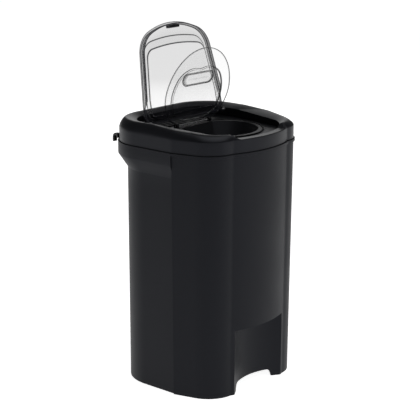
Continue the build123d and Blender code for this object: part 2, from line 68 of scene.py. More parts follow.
# %% [markdown]
# ## Sizes taken from the frame
# The bin's shapes are drawn below in millimetres, with y counted from a line across
# its front, because its parts were designed from that line. The main sizes could be
# typed in again, but then the two models could drift apart. So they are measured on
# the frame's pieces, and both hinges come from the frame's joints. Smaller sizes are
# given where they are first used, and have to be changed there if the frame changes.

# %% Sizes from the frame
MM = 0.001                         # metres in a millimetre
CENTRE_Y = 121.0                   # the frame's origin, behind the front line
SIDES = (("right", 1), ("left", -1))


def corners(node):
    """Both corners of a frame piece's box, in the drawing's millimetres, to 0.1 mm."""
    return [np.round(np.array(c) / MM + (0.0, CENTRE_Y, 0.0), 1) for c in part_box(node)]


def hinge(name):
    """A hinge's y and z in the drawing's millimetres, and the degrees from open to shut."""
    joint = next(j for j in frame["joints"] if j["name"] == name)
    y, z = joint["pos_m"][1:]
    return round(y / MM + CENTRE_Y, 1), round(z / MM, 1), joint["range_deg"][1]


(_, RIM_NOSE, TONGUE_FOOT), (RIM_HALF, RIM_BACK, CROWN_TOP) = corners("rim_frame")
BODY_TOP = corners("bin_body")[1][2]
COLLAR_OUT = corners("bin_body")[1][0] - RIM_HALF
SKIRT_FOOT = corners("rim_seal")[1][2]
OUTER_HINGE = hinge("outer_lid_hinge")
INNER_HINGE = hinge("inner_lid_hinge")
print("rim:", RIM_HALF, RIM_NOSE, RIM_BACK, CROWN_TOP, "tongue:", TONGUE_FOOT)
print("body:", BODY_TOP, "collar:", COLLAR_OUT, "skirt:", SKIRT_FOOT)
print("hinges:", OUTER_HINGE, INNER_HINGE)

# %% [markdown]
# ## Meshes from grids
# Most pieces of the bin are smooth mouldings. Each could be modelled by hand from a
# cube, but then its curves would only be as even as the hand. Here a piece is a grid
# of points instead: one index runs round the plan, the other along the section.
# numpy works out all the points at once, and the faces follow the grid.

# %% Grid helper
SHARP = 28                         # degrees: sharper edges than this stay crisp


def grid_mesh(name, points, close_v=False, caps=False, edge=None):
    """A mesh from points[v, u, xyz] in millimetres; u always closes on itself.

    Face (v, u) joins four neighbours of the grid. close_v joins the last row to the
    first, and caps fills the first and the last row with one fan each. edge gives each
    row a number that is kept on the mesh for the material.
    """
    rows, cols = points.shape[:2]
    verts = points.reshape(-1, 3).copy()
    v, u = np.meshgrid(np.arange(rows if close_v else rows - 1), np.arange(cols), indexing="ij")
    v2, u2 = (v + 1) % rows, (u + 1) % cols
    quads = np.stack([v * cols + u, v * cols + u2, v2 * cols + u2, v2 * cols + u], -1)
    faces = quads.reshape(-1, 4).tolist()
    if caps:
        first, last = len(verts), len(verts) + 1
        verts = np.vstack([verts, points[0].mean(0), points[-1].mean(0)])
        ring, following = np.arange(cols), (np.arange(cols) + 1) % cols
        end = (rows - 1) * cols
        faces += np.stack([np.full(cols, first), following, ring], -1).tolist()
        faces += np.stack([np.full(cols, last), end + ring, end + following], -1).tolist()
    verts[:, 1] -= CENTRE_Y
    mesh = bpy.data.meshes.new(name)
    mesh.from_pydata((verts * MM).tolist(), [], faces)
    mesh.validate()
    if edge is not None:
        layer = mesh.attributes.new("edge", "FLOAT", "POINT")
        values = np.concatenate([np.repeat(edge, cols), [0.0, 0.0]])[:len(verts)]
        layer.data.foreach_set("value", values)
    outward(mesh)
    mesh.shade_smooth()
    mesh.set_sharp_from_angle(angle=np.radians(SHARP))
    piece = bpy.data.objects.new(name, mesh)
    bpy.context.scene.collection.objects.link(piece)
    return piece


def outward(mesh):
    """Turns a closed mesh inside out if its signed volume is negative.

    The volume is the sum over triangles of a . (b x c) / 6.
    """
    mesh.calc_loop_triangles()
    tri = np.empty(len(mesh.loop_triangles) * 3, np.int32)
    mesh.loop_triangles.foreach_get("vertices", tri)
    co = np.empty(len(mesh.vertices) * 3)
    mesh.vertices.foreach_get("co", co)
    a, b, c = co.reshape(-1, 3)[tri.reshape(-1, 3)].transpose(1, 0, 2)
    if (a * np.cross(b, c)).sum() < 0:
        mesh.flip_normals()


print("grid meshes keep edges sharper than", SHARP, "degrees crisp")

# %% [markdown]
# ## Soft edges and small blocks
# No moulded edge is perfectly sharp: the tool leaves a radius that catches a thin
# line of light. The radius could be drawn into every section, but a Bevel modifier
# gives the same radius all along an edge. Small blocks are a superellipsoid, which
# is a box with soft edges from one formula.

# %% Edge radius and block
def soften(piece, width, angle=SHARP, segments=3):
    """Rounds every edge sharper than angle by width millimetres."""
    bevel = piece.modifiers.new("edge_radius", "BEVEL")
    bevel.width = width * MM
    bevel.segments = segments
    bevel.limit_method = "ANGLE"
    bevel.angle_limit = np.radians(angle)
    bevel.harden_normals = False
    return piece


def rounded_block(lo, hi, power=6.0, rows=28, cols=56):
    """A block with soft edges: |x|^p + |y|^p + |z|^p = 1, stretched between two corners."""
    lo, hi = np.array(lo, float), np.array(hi, float)
    lat = np.linspace(-np.pi / 2, np.pi / 2, rows)[1:-1, None]
    lon = np.linspace(0, 2 * np.pi, cols, endpoint=False)[None]
    flat = np.cos(lat)
    d = np.stack([flat * np.cos(lon), flat * np.sin(lon), np.sin(lat) + 0 * lon], -1)
    d /= (np.abs(d) ** power).sum(-1, keepdims=True) ** (1 / power)
    return (lo + hi) / 2 + d * (hi - lo) / 2


print("points on a block:", rounded_block((0, 0, 0), (1, 1, 1)).shape[:2])

# %% [markdown]
# ## The plan of the bin
# Rim, body, opening and lid share one kind of plan: a straight back, round rear
# corners, straight sides, angled cheeks, round front corners and a bowed nose. A
# Bezier curve could be drawn by eye, but lines and arcs are what a mould maker uses,
# and the points of such plans match one by one, so two plans can be joined or mixed.

# %% Lines and arcs
def line(p, q, n):
    """n points from p towards q: p + t (q - p), without q itself."""
    t = np.arange(n)[:, None] / n
    return np.asarray(p) + t * (np.asarray(q, float) - p)


def arc(p, q, centre, n):
    """n points on the shorter arc from p towards q about centre, without q itself."""
    p, q, centre = (np.asarray(a, float) for a in (p, q, centre))
    a0 = np.arctan2(*(p - centre)[::-1])
    a1 = np.arctan2(*(q - centre)[::-1])
    sweep = (a1 - a0 + np.pi) % (2 * np.pi) - np.pi
    a = a0 + sweep * np.arange(n) / n
    radius = np.hypot(*(p - centre))
    return centre + radius * np.stack([np.cos(a), np.sin(a)], -1)


def close(parts, end):
    """A whole plan from its right half and its last point on the middle line."""
    right = np.vstack(parts + [np.array([end])])
    left = right[1:-1][::-1] * (-1.0, 1.0)
    return np.vstack([right, left])


def lift(plan, z):
    """A plan at height z, which may be one number or one for each point."""
    return np.column_stack([plan, np.broadcast_to(z, len(plan))])


print("a quarter turn in 4 points:", arc((1, 0), (0, 1), (0, 0), 4).round(2).tolist())

# %% [markdown]
# ## Half a plan
# The bin is the same on both sides, so only the right half of a plan is worked out
# and then mirrored. Six stretches follow each other: back, rear corner, side, cheek,
# front corner and nose. Each has a fixed count of points, more where it curves more.

# %% Half plan
COUNTS = {"back": 10, "rear": 28, "side": 20, "cheek": 14, "front": 16, "nose": 30}
NOSE = list(COUNTS).index("nose")


def half_plan(half, back, corner, side_y, cheek, crease, nose, grow=0.0):
    """The right half of a plan, from the middle of the back to the middle of the nose.

    Each stretch moves outwards by grow. The nose is a circle through both creases:
    its radius is (x^2 + s^2) / 2s for a half chord x and a height s.
    """
    slope = np.array([cheek[0] - half, cheek[1] - side_y], float)
    slope /= np.hypot(*slope)
    s = crease[1] - nose
    radius = (crease[0] ** 2 + s ** 2) / (2 * s)
    turn = np.arcsin(crease[0] / radius)
    half, back, corner = half + grow, back + grow, corner + grow
    a, b = np.array([half - corner, back]), np.array([half, back - corner])
    c = np.array([half, side_y])
    d = np.array([cheek[0] - grow * slope[1], cheek[1] + grow * slope[0]])
    e = np.array([crease[0] + grow * np.sin(turn), crease[1] - grow * np.cos(turn)])
    normal = np.array([slope[1], -slope[0]])
    chord = e - d
    bend = (chord @ chord) / (2 * chord @ normal)
    nose_end = np.array([0.0, nose - grow])
    return [
        line((0.0, back), a, COUNTS["back"]),
        arc(a, b, (half - corner, back - corner), COUNTS["rear"]),
        line(b, c, COUNTS["side"]),
        line(c, d, COUNTS["cheek"]),
        arc(d, e, d + bend * normal, COUNTS["front"]),
        arc(e, nose_end, (0.0, nose + radius), COUNTS["nose"]),
    ]


print("points on half a plan:", sum(COUNTS.values()))

# %% [markdown]
# ## The four outlines
# Seen from above, the bin is a set of outlines inside each other: the rim's skirt,
# the crown 14 mm further in, the opening, and the outer lid, which has the opening's
# front but ends just behind its hinge. Scaling one outline would change its corners,
# so each has its own sizes. The wall's front also leans in a little towards the floor.

# %% Outlines
RIM_CORNER = 85.0                  # radius of the rear corners
CHEEK_START = 84.0                 # y where a straight side turns into a cheek
RIM_CHEEK, RIM_CREASE = (131.0, 38.0), (76.0, -4.5)
CROWN_IN = 14.0                    # from the skirt's line to the crown's
CROWN = {"side_y": CHEEK_START, "cheek": (116, 47), "crease": (71, 4.5), "nose": -9.0}
LEAN = 5.0                         # the front's lean from the lip to the floor
MOUTH = {"half": 108.0, "side_y": 142.0, "cheek": (94, 44), "crease": (62, 4), "nose": -8.0}
MOUTH_BACK, MOUTH_CORNER, MOUTH_SPARE = 234.0, 55.0, 1.5
LID_BACK, LID_CORNER = 175.0, 20.0


def lean(z):
    """How far the front leans in at height z: 5 mm at the floor, none at the lip."""
    return LEAN * max(0.0, 1 - z / BODY_TOP)


def rim_half(grow=0.0, z=BODY_TOP, half=RIM_HALF, back=RIM_BACK):
    """Half of the skirt's outline; below the lip its front moves back with the lean.

    The crease and the nose move by the whole lean, the cheek's end by 0.6 of it
    inwards and 0.8 of it back.
    """
    k = lean(z)
    cheek = (RIM_CHEEK[0] - 0.6 * k, RIM_CHEEK[1] + 0.8 * k)
    crease = (RIM_CREASE[0], RIM_CREASE[1] + k)
    return half_plan(half, back, RIM_CORNER, CHEEK_START, cheek, crease, k + RIM_NOSE, grow)


def rim_line(grow=0.0):
    """The skirt's whole outline, moved outwards by grow."""
    return close(rim_half(grow), (0, RIM_NOSE - grow))


def crown_line():
    """The crown's outline: 14 mm inside the skirt's, with its own cheeks and nose."""
    half, back, corner = (size - CROWN_IN for size in (RIM_HALF, RIM_BACK, RIM_CORNER))
    return close(half_plan(half, back, corner, **CROWN), (0, CROWN["nose"]))


def opening_line(grow=0.0):
    """The opening's outline, 1.5 mm tighter than the lid's front and moved by grow."""
    g = grow - MOUTH_SPARE
    half = half_plan(back=MOUTH_BACK, corner=MOUTH_CORNER, grow=g, **MOUTH)
    return close(half, (0, MOUTH["nose"] - g))


def lid_line(grow=0.0):
    """The outer lid's outline, moved outwards by grow."""
    half = half_plan(back=LID_BACK, corner=LID_CORNER, grow=grow, **MOUTH)
    return close(half, (0, MOUTH["nose"] - grow))


for outline in (rim_line, crown_line, opening_line, lid_line):
    print(outline.__name__, "is", np.ptp(outline(), axis=0).round(1), "mm, points:", len(outline()))

# %% [markdown]
# ## Surfaces
# Every finish of the bin is a small node tree. Placing nodes by hand works, but a sum
# of several terms soon becomes hard to follow. So shader sums are written as Python:
# a Wire holds one socket, and adding or multiplying wires adds the matching Math node.

# %% Wire
class Wire:
    """One socket of a node tree, with arithmetic."""

    def __init__(self, shader, socket):
        self.shader, self.socket = shader, socket

    def _math(self, operation, a, b):
        return self.shader.node("ShaderNodeMath", {"operation": operation}, {0: a, 1: b})

    def __add__(self, other):
        return self._math("ADD", self, other)

    def __mul__(self, other):
        return self._math("MULTIPLY", self, other)

    def __sub__(self, other):
        return self._math("SUBTRACT", self, other)

    def __rsub__(self, other):
        return self._math("SUBTRACT", other, self)

    def __pow__(self, other):
        return self._math("POWER", self, other)

    def __rpow__(self, other):
        return self._math("POWER", other, self)

    __radd__ = __add__
    __rmul__ = __mul__


print("a wire can be added, multiplied, taken away and raised to a power")

# %% [markdown]
# ## Node trees
# A material and the studio's surround are both node trees. One method adds any node:
# it takes the node's type, its settings, and the value or the wire for each socket.
# The short methods after it name the few nodes that are used again and again.

# %% Shader
class Shader:
    """A node tree under construction, for a material or for the world."""

    def __init__(self, owner):
        owner.use_nodes = True
        self.owner = owner
        self.nodes, self.links = owner.node_tree.nodes, owner.node_tree.links
        self.nodes.clear()

    def node(self, kind, settings, values, output=0):
        """Adds a node, sets it up, fills or links its sockets and gives back an output."""
        made = self.nodes.new(kind)
        for key, value in settings.items():
            if key == "stops":
                for stop, (position, colour) in zip(made.color_ramp.elements, value):
                    stop.position, stop.color = position, colour
            else:
                setattr(made, key, value)
        for key, value in values.items():
            if isinstance(value, Wire):
                self.links.new(value.socket, made.inputs[key])
            else:
                made.inputs[key].default_value = value
        return Wire(self, made.outputs[output]) if made.outputs else None

    def noise(self, scale, detail=3.0, rough=0.5):
        """Cloudy noise from 0 to 1 on the piece's own coordinates."""
        place = self.node("ShaderNodeTexCoord", {}, {}, "Object")
        values = {"Vector": place, "Scale": scale, "Detail": detail, "Roughness": rough}
        return self.node("ShaderNodeTexNoise", {}, values, "Fac")

    def ramp(self, fac, low, high):
        """0 below low, 1 above high and straight between."""
        stops = [(low, (0, 0, 0, 1)), (high, (1, 1, 1, 1))]
        return self.node("ShaderNodeValToRGB", {"stops": stops}, {"Fac": fac}, "Color")

    def mix(self, fac, a, b):
        """Colour a where fac is 0, colour b where it is 1: a + fac (b - a)."""
        values = {0: fac, 6: (*a, 1), 7: (*b, 1)}
        return self.node("ShaderNodeMix", {"data_type": "RGBA"}, values, 2)

    def bump(self, height, distance, strength=1.0):
        """Tilts the surface's normal by the slope of height."""
        values = {"Height": height, "Distance": distance, "Strength": strength}
        return self.node("ShaderNodeBump", {}, values, "Normal")

    def principled(self, values):
        """The general surface node, with the sockets that values names."""
        return self.node("ShaderNodeBsdfPrincipled", {}, values, "BSDF")

    def finish(self, surface, output="ShaderNodeOutputMaterial"):
        """Joins the last wire to the output and gives back the material or the world."""
        self.node(output, {}, {"Surface": surface})
        return self.owner


print("methods:", [name for name in vars(Shader) if not name.startswith("_")])

# %% [markdown]
# ### Black moulded plastic and steel
# Spark-eroded moulds leave a fine grain. Handling leaves faint cloudy patches where
# the surface is a little smoother. An image could hold both, but noise needs no
# unwrapping and never repeats: one slow noise moves colour and roughness, and one
# fine noise is the grain. The rod, pins and screws are drawn steel.

# %% Plastics, rubber and steel
PLASTIC_IOR = 1.49
SHEEN_LEVEL = 0.17                 # low, so that broad walls stay black under the key
SHEEN_TINT = (0.84, 0.87, 1.0, 1)


def plastic(name, dark, light, rough, rough_drift, grain, coat=0.0):
    """A moulded plastic: roughness = rough + rough_drift (cloud - 0.5) + a trace of grain.

    The colour goes from dark to light with the same cloud, and the grain is a bump.
    """
    m = Shader(bpy.data.materials.new(name))
    cloud = m.noise(9.0, 4.0, 0.6)
    fine = m.noise(1400.0, 2.0, 0.6)
    return m.finish(m.principled({
        "Base Color": m.mix(m.ramp(cloud, 0.3, 0.7), dark, light),
        "Roughness": rough + rough_drift * (cloud - 0.5) + 0.06 * (fine - 0.5),
        "Normal": m.bump(fine, grain),
        "IOR": PLASTIC_IOR,
        "Specular IOR Level": SHEEN_LEVEL,
        "Specular Tint": SHEEN_TINT,
        "Coat Weight": coat,
        "Coat Roughness": 0.12,
    }))


def steel(name):
    """Drawn steel: roughness = 0.22 + 0.12 noise, with the same noise as a faint bump."""
    m = Shader(bpy.data.materials.new(name))
    drawn = m.noise(700.0, 2.0)
    return m.finish(m.principled({
        "Base Color": m.mix(drawn, (0.55, 0.55, 0.56), (0.68, 0.68, 0.69)),
        "Metallic": 1.0,
        "Roughness": 0.22 + 0.12 * drawn,
        "Normal": m.bump(drawn, 0.00002),
    }))


body_black = plastic(
    "body_black", (0.0062, 0.0065, 0.0080), (0.0078, 0.0082, 0.0098), 0.50, 0.16, 0.00006)
rim_black = plastic(
    "rim_black", (0.0062, 0.0065, 0.0080), (0.0080, 0.0084, 0.0100), 0.36, 0.12, 0.00004)
# The deck, chute and bag ring get a darker copy of the same black plastic: painted shade for the dim
# inside of the bin.
inner_black = plastic(
    "inner_black", (0.0035, 0.0037, 0.0044), (0.0048, 0.0050, 0.0058), 0.46, 0.12, 0.00005)
seal_black = plastic(
    "seal_black", (0.0080, 0.0080, 0.0080), (0.0110, 0.0110, 0.0110), 0.70, 0.10, 0.00004)
gloss_black = plastic(
    "gloss_black", (0.0060, 0.0060, 0.0070), (0.0080, 0.0080, 0.0090), 0.16, 0.05, 0.00001, 0.6)
bright_steel = steel("bright_steel")
blacks = (body_black, rim_black, inner_black, seal_black, gloss_black)
print("black finishes:", [finish.name for finish in blacks], "and", bright_steel.name)

# %% [markdown]
# ### Clear plastic
# A thin clear wall shows almost nothing face on and darkens where it is seen edge
# on. Real refraction through two lids is slow and noisy, and a thin sheet bends light
# very little. So the lids are a glossy surface with little cover in the middle and
# more at the edges, which the facing weight gives, and moulding waves in the gloss.

# %% Clear plastics
def clear(name, tint, face_cover, edge_cover, power, line_cover):
    """Cover runs from face_cover to edge_cover with the facing weight to a power.

    The mesh's own edge number adds line_cover where the wall turns, as light that
    travels inside the sheet leaves it dark there.
    """
    m = Shader(bpy.data.materials.new(name))
    wave = m.noise(38.0, 2.0, 0.4)
    facing = m.node("ShaderNodeLayerWeight", {}, {"Blend": 0.5}, "Facing")
    turn = m.node("ShaderNodeAttribute", {"attribute_name": "edge"}, {}, "Fac")
    cover = face_cover + (edge_cover - face_cover) * (facing ** power) + line_cover * turn
    return m.finish(m.principled({
        "Base Color": (*tint, 1),
        "Roughness": 0.07 + 0.05 * wave,
        "IOR": PLASTIC_IOR,
        "Normal": m.bump(wave, 0.0002, 0.3),
        "Alpha": m.node("ShaderNodeClamp", {}, {"Value": cover}, "Result"),
    }))


smoke_clear = clear("smoke_clear", (0.028, 0.028, 0.036), 0.145, 0.52, 3.6, 0.88)
water_clear = clear("water_clear", (0.020, 0.022, 0.024), 0.016, 0.75, 4.0, 0.85)
print("clear finishes:", smoke_clear.name, "and", water_clear.name)

# %% [markdown]
# ## The body
# On the real bin this is one moulded bucket. Behind the side ridges it widens into a
# collar under the rim; at the front a recess goes in under a straight overhang, and
# an arch leaves a foot at each side. A solid with a Solidify modifier would need the
# recess and the arch cut out. Here each level of the wall is one plan, so the recess
# is just another nose and the arch is another height for some points.

# %% Recess, arch and collar
BODY_HALF, BODY_BACK = 137.0, 246.0      # the wall below the collar
WALL = 3.0
TAPER_FOOT, TAPER_RISE = 409.0, 24.0     # the collar's slope
TAPER_LAG = 1.5                          # the slope inside starts this much higher
RECESS_HALF, RECESS_DEEP, RECESS_LIP = 72.0, 20.0, 6.0
ARCH_HALF, ARCH_HIGH, ARCH_CORNER = 52.0, 14.0, 10.0
FRONT_REACH = 42.0                       # what lies nearer than this y counts as front


def collar_share(z):
    """0 below the taper, 1 on the collar face, straight between."""
    return float(np.clip((z - TAPER_FOOT) / TAPER_RISE, 0, 1))


def scoop_line(edge, deep, nose):
    """The nose with the recess cut in: at each x the deeper of the nose and the hollow.

    The hollow is a circle through (edge, -6) and (0, deep), centred in front of the bin.
    """
    drop = deep + RECESS_LIP
    radius = (edge ** 2 + drop ** 2) / (2 * drop)
    x = nose[:, 0]
    hollow = deep - radius + np.sqrt(radius ** 2 - x ** 2)
    return np.column_stack([x, np.maximum(nose[:, 1], hollow)])


def foot_line(plan):
    """Lower edge of the wall: a flat-topped arch 14 mm high with 10 mm corners."""
    x, y = np.abs(plan[:, 0]), plan[:, 1]
    run = np.clip(x - (ARCH_HALF - ARCH_CORNER), 0.0, ARCH_CORNER)
    top = ARCH_HIGH - ARCH_CORNER + np.sqrt(ARCH_CORNER ** 2 - run ** 2)
    return np.where((y < FRONT_REACH) & (x < ARCH_HALF), top, 0.0)


print("arch height over the middle:", foot_line(rim_line())[len(rim_line()) // 2], "mm")

# %% [markdown]
# ## Levels of the wall
# The wall is one closed surface: up the outside, over the lip and down the inside.
# Two surfaces with a gap between them would look the same from outside, but light
# would leak at the lip. Below the overhang the rows are squeezed between the arch and
# the overhang, so that the wall's lower edge follows the arch.

# %% Body wall
LIP_FOOT = 450.5                         # above this the lip sticks out all round
RECESS_TOP = 124.6
LOW = np.array([0, 2, 5, 10, 20, 35, 60, 95, RECESS_TOP])
HIGH = np.array([125.0, 125.6, 150, 200, 260, 320, 380, 408.6, 409.4, 421, 432.6, 433.4,
                 445, 450.2, 451, 455.6, BODY_TOP])


def body_row(z, inset, recess):
    """One level of the wall, inset from the outside; recess swaps the nose for a hollow.

    The rear half goes from the lower outline to the collar's by (1 - t) a + t b.
    """
    t = collar_share(z - (TAPER_LAG if inset else 0))
    on_lip = not inset and z > LIP_FOOT
    collar = rim_half(-inset if inset else COLLAR_OUT)
    low = rim_half(-inset, z, BODY_HALF, BODY_BACK)
    front = rim_half(COLLAR_OUT) if on_lip else rim_half(-inset, z, RIM_HALF - lean(z) / 2)
    rear = [(1 - t) * a + t * b for a, b in zip(low[:3], collar[:3])]
    ridge = np.array([(rear[2][-1][0], CHEEK_START)])
    if recess:
        front[NOSE] = scoop_line(RECESS_HALF + inset, RECESS_DEEP + inset, front[NOSE])
        end = (0, RECESS_DEEP + inset)
    else:
        end = (0, RIM_NOSE - COLLAR_OUT if on_lip else lean(z) + RIM_NOSE + inset)
    return close(rear + [ridge] + front[3:], end)


def squeezed(z, inset):
    """A level below the overhang: foot + z (top - foot) / top of the outside."""
    plan = body_row(z, inset, True)
    foot = foot_line(plan)
    return lift(plan, foot + z * (RECESS_TOP + inset - foot) / RECESS_TOP)


def body_rows():
    """Every level of the outside, then of the inside from the lip down."""
    outside = [squeezed(z, 0) for z in LOW] + [lift(body_row(z, 0, False), z) for z in HIGH]
    inside = [lift(body_row(z, WALL, False), z) for z in HIGH[:0:-1]]
    return np.array(outside + inside + [squeezed(z, WALL) for z in LOW[::-1]])


levels = body_rows()
body = soften(grid_mesh("body_wall", levels, close_v=True), 0.7)
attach(body, "bin")
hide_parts("bin_body")
body.data.materials.append(body_black)
print("body:", len(body.data.vertices), "points in", len(levels), "levels")

# %% [markdown]
# ## Floor plate
# A bucket has a floor. It hardly shows from outside, but without it one could look
# down the chute and out below. A flat plate is enough: its plan is the wall's, 2 mm
# in from the outside, so its edge ends inside the 3 mm wall and no gap is left.

# %% Floor plate
PLATE_IN, PLATE_TOP = 2.0, 30.0
plate_parts = rim_half(-PLATE_IN, PLATE_TOP, BODY_HALF, BODY_BACK)
plate_deep = RECESS_DEEP + PLATE_IN
plate_parts[NOSE] = scoop_line(RECESS_HALF + PLATE_IN, plate_deep, plate_parts[NOSE])
plate_line = close(plate_parts, (0, plate_deep))
plate = np.array([lift(plate_line, z) for z in (PLATE_TOP - WALL, PLATE_TOP)])
floor_plate = grid_mesh("floor_plate", plate, caps=True)
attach(floor_plate, "bin")
floor_plate.data.materials.append(body_black)
print("floor plate:", np.ptp(plate, axis=(0, 1)).round(1), "mm")

# %% [markdown]
# ## Ledges for the bag ring
# The ring that holds the bag's edge needs something to sit on: six small ledges
# stand out from the inside of the wall, just under it. They are three pairs, so one
# loop mirrors each block to the other side.

# %% Ledges
LEDGE_FOOT, LEDGE_TOP = 422.0, corners("bag_ring")[0][2]
LEDGES = {
    "": ((126, 108), (137.2, 122)),
    "front_": ((33, -13), (47, 0.5)),
    "back_": ((33, 246), (47, 253.5)),
}
for place, (near, far) in LEDGES.items():
    for side, sign in SIDES:
        x0, x1 = sorted((sign * near[0], sign * far[0]))
        block = rounded_block((x0, near[1], LEDGE_FOOT), (x1, far[1], LEDGE_TOP), power=12.0)
        ledge = grid_mesh("bag_ledge_" + place + side, block, caps=True)
        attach(ledge, "bin")
        ledge.data.materials.append(body_black)
print("pairs of ledges:", len(LEDGES), "under the ring at", LEDGE_TOP, "mm")

# %% [markdown]
# ## The rim
# The rim is the moulding that carries both lids. A skirt stands on the body, a bevel
# turns in to the crown, and a band falls from the crown to the opening. A shallow
# notch for the fingers crosses the front, where the crown is a little lower too. It
# could be cut with a Boolean, but that leaves ragged faces along a curved surface. A
# height limit on the points gives a clean notch.

# %% Rim section
SKIRT_TOP = 479.0
BAND_FALL, MOUTH_FOOT = 6.0, 477.0       # the band's drop, and the opening's lower edge
HOLLOW_TOP, HOLLOW_SIDE = 488.0, 482.6   # underside of the roof, middle and side
RIM_WALL, ROOF = 2.5, 3.0                # walls, and the roof over the hollow inside
FALL_START, FALL_RUN, FALL = 142.0, 182.0, 12.0
NOTCH_FLOOR, NOTCH_HALF, NOTCH_RAMP, NOTCH_RISE = 481.5, 60.0, 28.0, 20.0
NO_LIMIT = 600.0


def ease(t):
    """0 to 1 with level ends: 3 t^2 - 2 t^3."""
    t = np.clip(t, 0, 1)
    return t * t * (3 - 2 * t)


def notch_height(plan):
    """Highest the rim may be: level over the middle, rising 20 mm over 28 mm."""
    x, y = np.abs(plan[:, 0]), plan[:, 1]
    limit = NOTCH_FLOOR + ease((x - NOTCH_HALF) / NOTCH_RAMP) * NOTCH_RISE
    return np.where(y < FRONT_REACH, limit, NO_LIMIT)


def rim_rows():
    """The section of the rim, from the skirt's foot over the crown and back inside.

    The bevel's height is 20 sin(a)^1.15, and the band falls by 6 t^1.5. Each point is
    then lowered by up to 12 mm, growing evenly towards the front and from the skirt's
    top to the crown.
    """
    outside, crown, mouth = rim_line(), crown_line(), opening_line()
    bevel = CROWN_TOP - SKIRT_TOP
    upper = [(outside, z) for z in (SKIRT_FOOT, (SKIRT_FOOT + SKIRT_TOP) / 2, SKIRT_TOP)]
    for a in np.radians((12, 24, 36, 48, 60, 72, 84, 90)):
        t = 0.35 * (1 - np.cos(a)) + 0.65 * np.clip((a - 0.3) / (np.pi / 2 - 0.3), 0, 1)
        upper.append((outside + t * (crown - outside), SKIRT_TOP + bevel * np.sin(a) ** 1.15))
    for t in (0.06, 0.2, 0.5, 0.85, 1.0):
        upper.append((crown + t * (mouth - crown), CROWN_TOP - BAND_FALL * t ** 1.5))
    upper += [(mouth, MOUTH_FOOT + above) for above in (9.0, 1.2, 0.0)]
    under, inner = opening_line(RIM_WALL), rim_line(-RIM_WALL)
    roof = inner * 0.86 + under * 0.14
    lower = [(under, MOUTH_FOOT), (under, HOLLOW_TOP), (roof, HOLLOW_TOP)]
    lower += [(inner, HOLLOW_SIDE), (inner, SKIRT_FOOT)]
    rows = []
    for section, drop in ((upper, 0.0), (lower, ROOF)):
        for plan, z in section:
            fall = np.clip((FALL_START - plan[:, 1]) / FALL_RUN, 0, 1) * FALL
            share = np.clip((z - SKIRT_TOP) / bevel, 0, 1)
            rows.append(lift(plan, np.minimum(z - fall * share, notch_height(plan) - drop)))
    return np.array(rows)


rim = soften(grid_mesh("rim_cover", rim_rows(), close_v=True), 1.0, 24)
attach(rim, "rim")
rim.data.materials.append(rim_black)
print("rim:", len(rim.data.vertices), "points")

# %% [markdown]
# ## The rim's tongue
# Inside the skirt a thin wall reaches down into the body, so that the rim can't slide
# off sideways. It shows when the rim is lifted. It is four outlines joined into a
# closed band, which is simpler than giving a sheet a thickness.

# %% Rim tongue
TONGUE_IN, TONGUE_TOP = 3.6, 480.0       # 0.6 mm clear of the 3 mm wall
near, far = rim_line(-TONGUE_IN), rim_line(-TONGUE_IN - RIM_WALL)
band = [(near, TONGUE_TOP), (near, TONGUE_FOOT), (far, TONGUE_FOOT), (far, TONGUE_TOP)]
tongue = grid_mesh("rim_tongue", np.array([lift(p, z) for p, z in band]), close_v=True)
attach(tongue, "rim")
tongue.data.materials.append(rim_black)
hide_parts("rim_frame")
print("tongue reaches", BODY_TOP - TONGUE_FOOT, "mm into the body")

# %% [markdown] ## Opening a lid Both lids are seen open, but a lid is far easier to
# draw closed, where it is flat and fits the opening. So its points are worked out
# closed and then turned about the hinge.

# %% Swing
def swing(points, place):
    """Turns points about the X axis through a hinge by -degrees, from closed to open."""
    y, z, degrees = place
    a = np.radians(-degrees)
    out = points.copy()
    dy, dz = points[..., 1] - y, points[..., 2] - z
    out[..., 1] = y + dy * np.cos(a) - dz * np.sin(a)
    out[..., 2] = z + dy * np.sin(a) + dz * np.cos(a)
    return out


def shrink(plan, share, centre_y):
    """A plan drawn in towards (0, centre_y): share of the plan plus the rest of the centre."""
    return plan * share + np.array([0, centre_y]) * (1 - share)


def section(rows):
    """Rows of (plan, height, turn) as a grid of points and one turn number for each row."""
    grid = np.array([lift(plan, z) for plan, z, _ in rows])
    return grid, np.array([turn for _, _, turn in rows])


tip = np.array([[0.0, MOUTH["nose"], OUTER_HINGE[1]]])
print("a closed point level with the hinge", tip[0], "opens to", swing(tip, OUTER_HINGE)[0].round(1))

# %% [markdown]
# ## The outer lid
# A smoke-tinted clear moulding, 2.2 mm thick. From its middle outwards it has a dished
# panel, a flat flange, a rounded edge, and a lip that hangs under the edge and fades
# out towards the hinge. A flat sheet with a Solidify modifier would miss the lip and
# the two different corners of the dish. So the section is a list of rows from the
# middle of the dish, over the edge and back underneath; each row also says how
# strongly the sheet turns there, which the clear finish shows as a dark line.

# %% Outer lid
SHEET = 2.2                              # thickness of both lids
LID_LOW, DISH_FLOOR = 494.5, 489.5
LID_HIGH = LID_LOW + SHEET
DISH_MIDDLE = 95.0
LIP_START, LIP_RUN = 142.0, 12.0         # the lip fades in over 12 mm from this y


def dish_line(edge, grow=0.0):
    """The dish: edge 0 is its floor and edge 1 its upper line.

    The upper line is 3 mm further out at the sides and 14 mm further at the nose.
    """
    inset, nose = 14 + 3 * (1 - edge), 18 + 14 * (1 - edge)
    cheek, crease = (97 - inset, 54 - 5 * edge), (64 - 5.5 * edge, nose + 5)
    half, back, corner = MOUTH["half"] - inset, 160 + 2 * edge, 10 + 2 * edge
    return close(half_plan(half, back, corner, 130, cheek, crease, nose, grow), (0, nose - grow))


